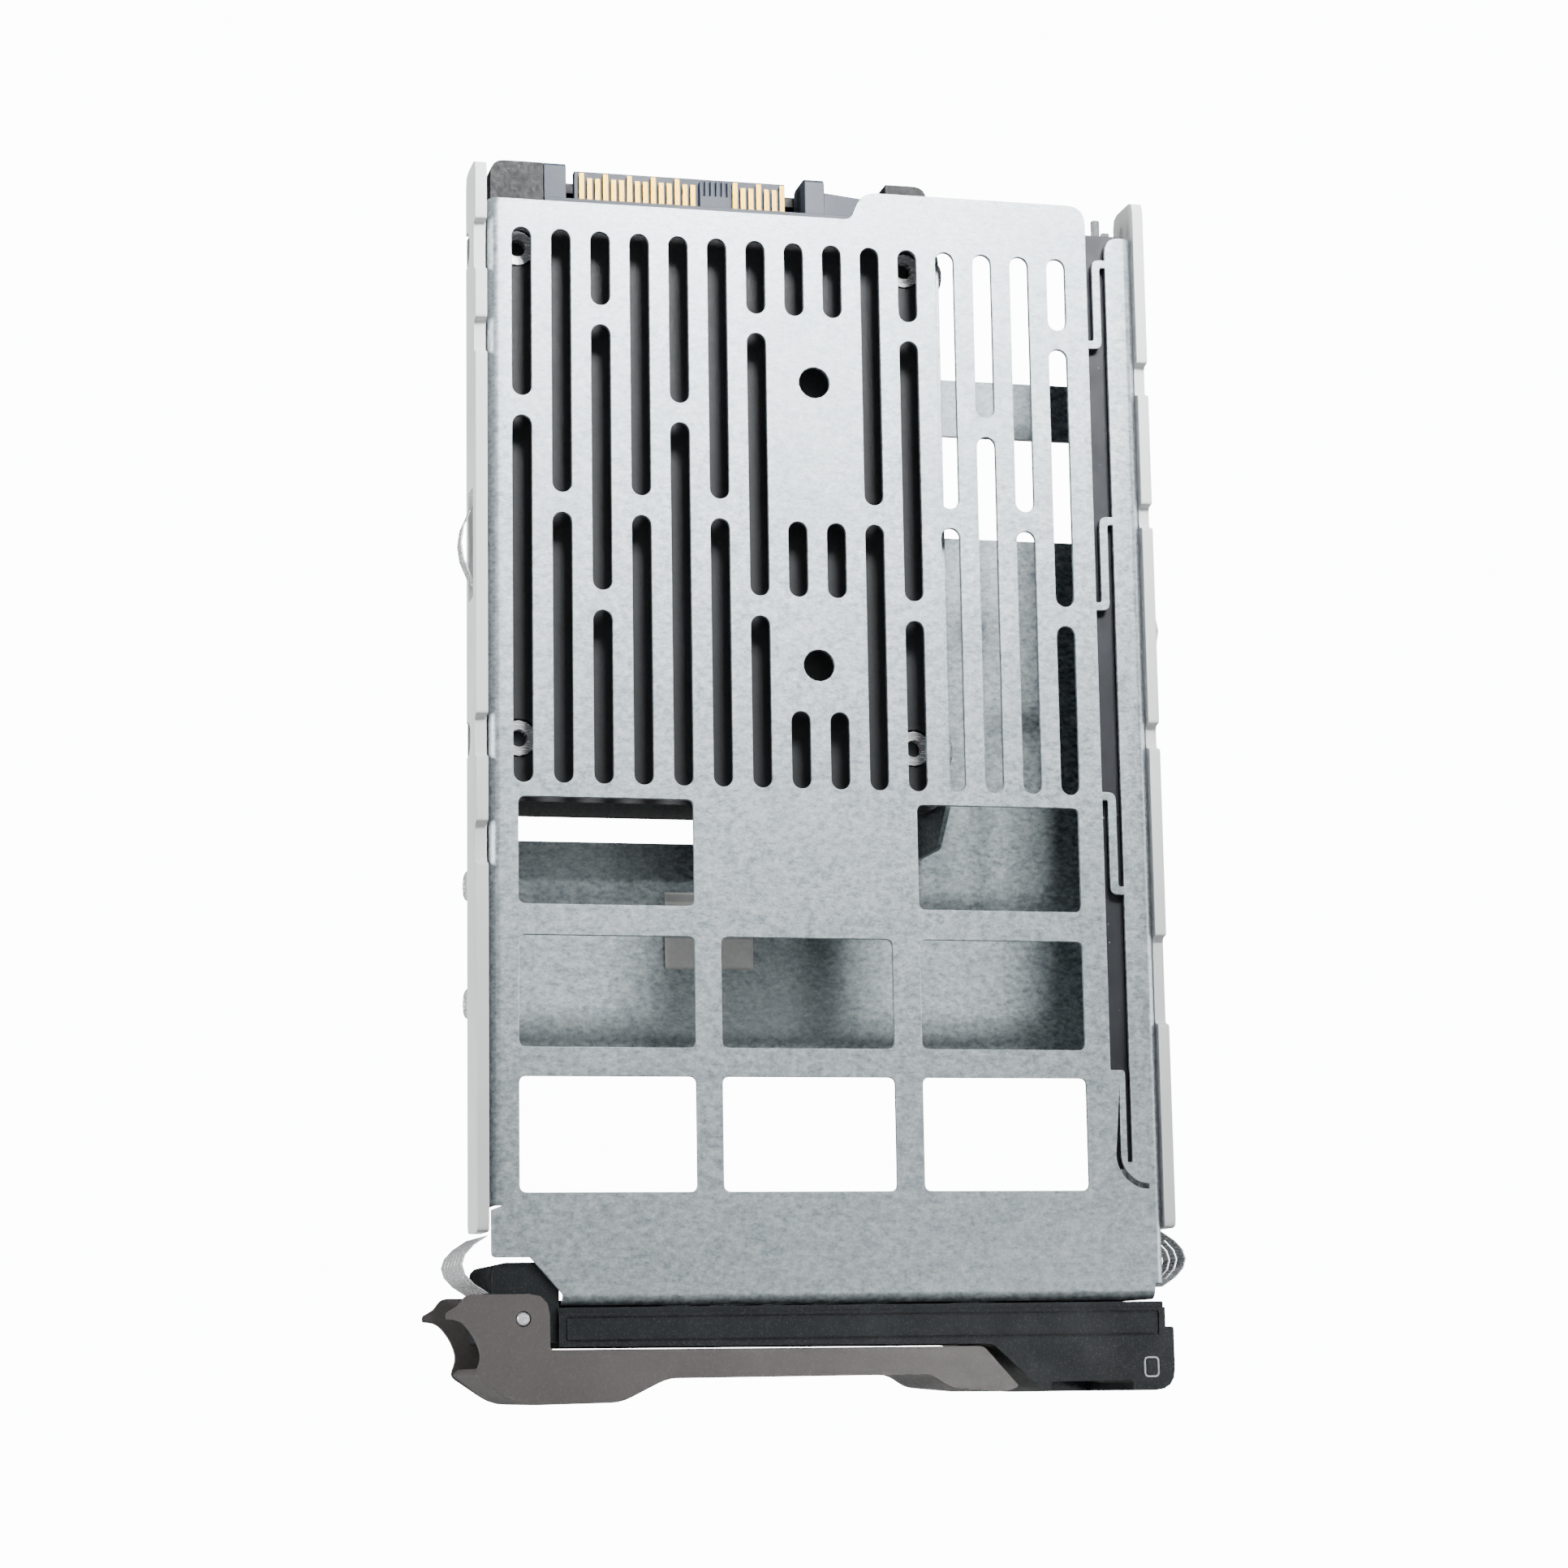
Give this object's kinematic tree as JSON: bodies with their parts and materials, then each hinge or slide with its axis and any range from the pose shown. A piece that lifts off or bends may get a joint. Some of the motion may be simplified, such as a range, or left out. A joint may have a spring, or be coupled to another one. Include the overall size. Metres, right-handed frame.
{
  "type": "solid state drive",
  "caption": "Solid state drive screwed by an adapter bracket into a slotted steel hot-swap carrier with guide rails, swing handle, release button and rear connector.",
  "frame": {"origin": "under the middle of the whole object, level with the lowest point of the handle at the front end", "axes": "+X across the carrier from the handle's pivot to the release button, +Y from the slotted base to the open side, +Z from the handle at the front to the connector at the rear"},
  "size_m": [0.114, 0.0254, 0.1903],
  "materials": {
    "galvanised_steel": "galvanised, fine matt spangle",
    "stainless_steel": "bright stainless steel",
    "rail_plastic": "light grey moulding",
    "clear_acrylic": "clear moulded plastic",
    "black_film": "matt black film",
    "label_paper": "blank white label",
    "charcoal_casting": "charcoal powder coat",
    "connector_plastic": "slate grey moulding",
    "gold_contact": "gold plated",
    "circuit_board": "green solder mask",
    "chip_package": "black epoxy",
    "thermal_pad": "soft grey pad",
    "capacitor_sleeve": "black sleeve",
    "bezel_plastic": "black with a fine metallic fleck",
    "handle_finish": "bronze grey metallic",
    "button_plastic": "slate grey moulding"
  },
  "bodies": {
    "carrier": {"tray": "galvanised_steel", "adapter_bracket": "galvanised_steel", "left_leaf_spring": "stainless_steel", "right_leaf_spring": "stainless_steel", "left_ground_spring": "stainless_steel", "right_ground_spring": "stainless_steel", "pivot_pin": "stainless_steel", "handle_spring": "stainless_steel", "button_spring": "stainless_steel", "drive_screw_left_1": "stainless_steel", "drive_screw_left_2": "stainless_steel", "drive_screw_right_1": "stainless_steel", "drive_screw_right_2": "stainless_steel", "adapter_screw_1": "stainless_steel", "adapter_screw_2": "stainless_steel", "adapter_screw_3": "stainless_steel", "adapter_screw_4": "stainless_steel", "cover_screw_1": "stainless_steel", "cover_screw_2": "stainless_steel", "cover_screw_3": "stainless_steel", "cover_screw_4": "stainless_steel", "bezel_screw_1": "stainless_steel", "bezel_screw_2": "stainless_steel", "threaded_insert_1": "stainless_steel", "threaded_insert_2": "stainless_steel", "threaded_insert_3": "stainless_steel", "threaded_insert_4": "stainless_steel", "left_rail": "rail_plastic", "right_rail": "rail_plastic", "activity_light_pipe": "clear_acrylic", "status_light_pipe": "clear_acrylic", "activity_lens": "clear_acrylic", "status_lens": "clear_acrylic", "light_pipe_shield": "black_film", "adapter_label": "label_paper", "ssd_label": "label_paper", "ssd_base": "charcoal_casting", "ssd_cover": "charcoal_casting", "connector_housing": "connector_plastic", "power_contacts": "gold_contact", "signal_contacts": "gold_contact", "circuit_board": "circuit_board", "flash_chip_1": "chip_package", "flash_chip_2": "chip_package", "flash_chip_3": "chip_package", "flash_chip_4": "chip_package", "controller_chip": "chip_package", "memory_chip": "chip_package", "thermal_pad": "thermal_pad", "backup_capacitor_1": "capacitor_sleeve", "backup_capacitor_2": "capacitor_sleeve", "backup_capacitor_3": "capacitor_sleeve", "bezel": "bezel_plastic"},
    "handle": {"handle": "handle_finish"},
    "release_button": {"release_button": "button_plastic"},
    "latch": {"latch": "bezel_plastic"}
  },
  "joints": [
    {"name": "handle_swing", "type": "hinge", "parent": "carrier", "child": "handle", "pos_m": [-0.04575, 0, 0.01237], "axis": [0, 1, 0], "range_deg": [0, 45]},
    {"name": "button_press", "type": "slide", "parent": "carrier", "child": "release_button", "axis": [0, 0, 1], "range_m": [0, 0.0015], "stiffness_N_per_m": 400, "deforming": ["button_spring"]},
    {"name": "latch_slide", "type": "slide", "parent": "carrier", "child": "latch", "axis": [1, 0, 0], "range_m": [0, 0.001]}
  ],
  "couplings": [
    {"joint": "latch_slide", "follows": "button_press", "ratio": 0.6}
  ]
}
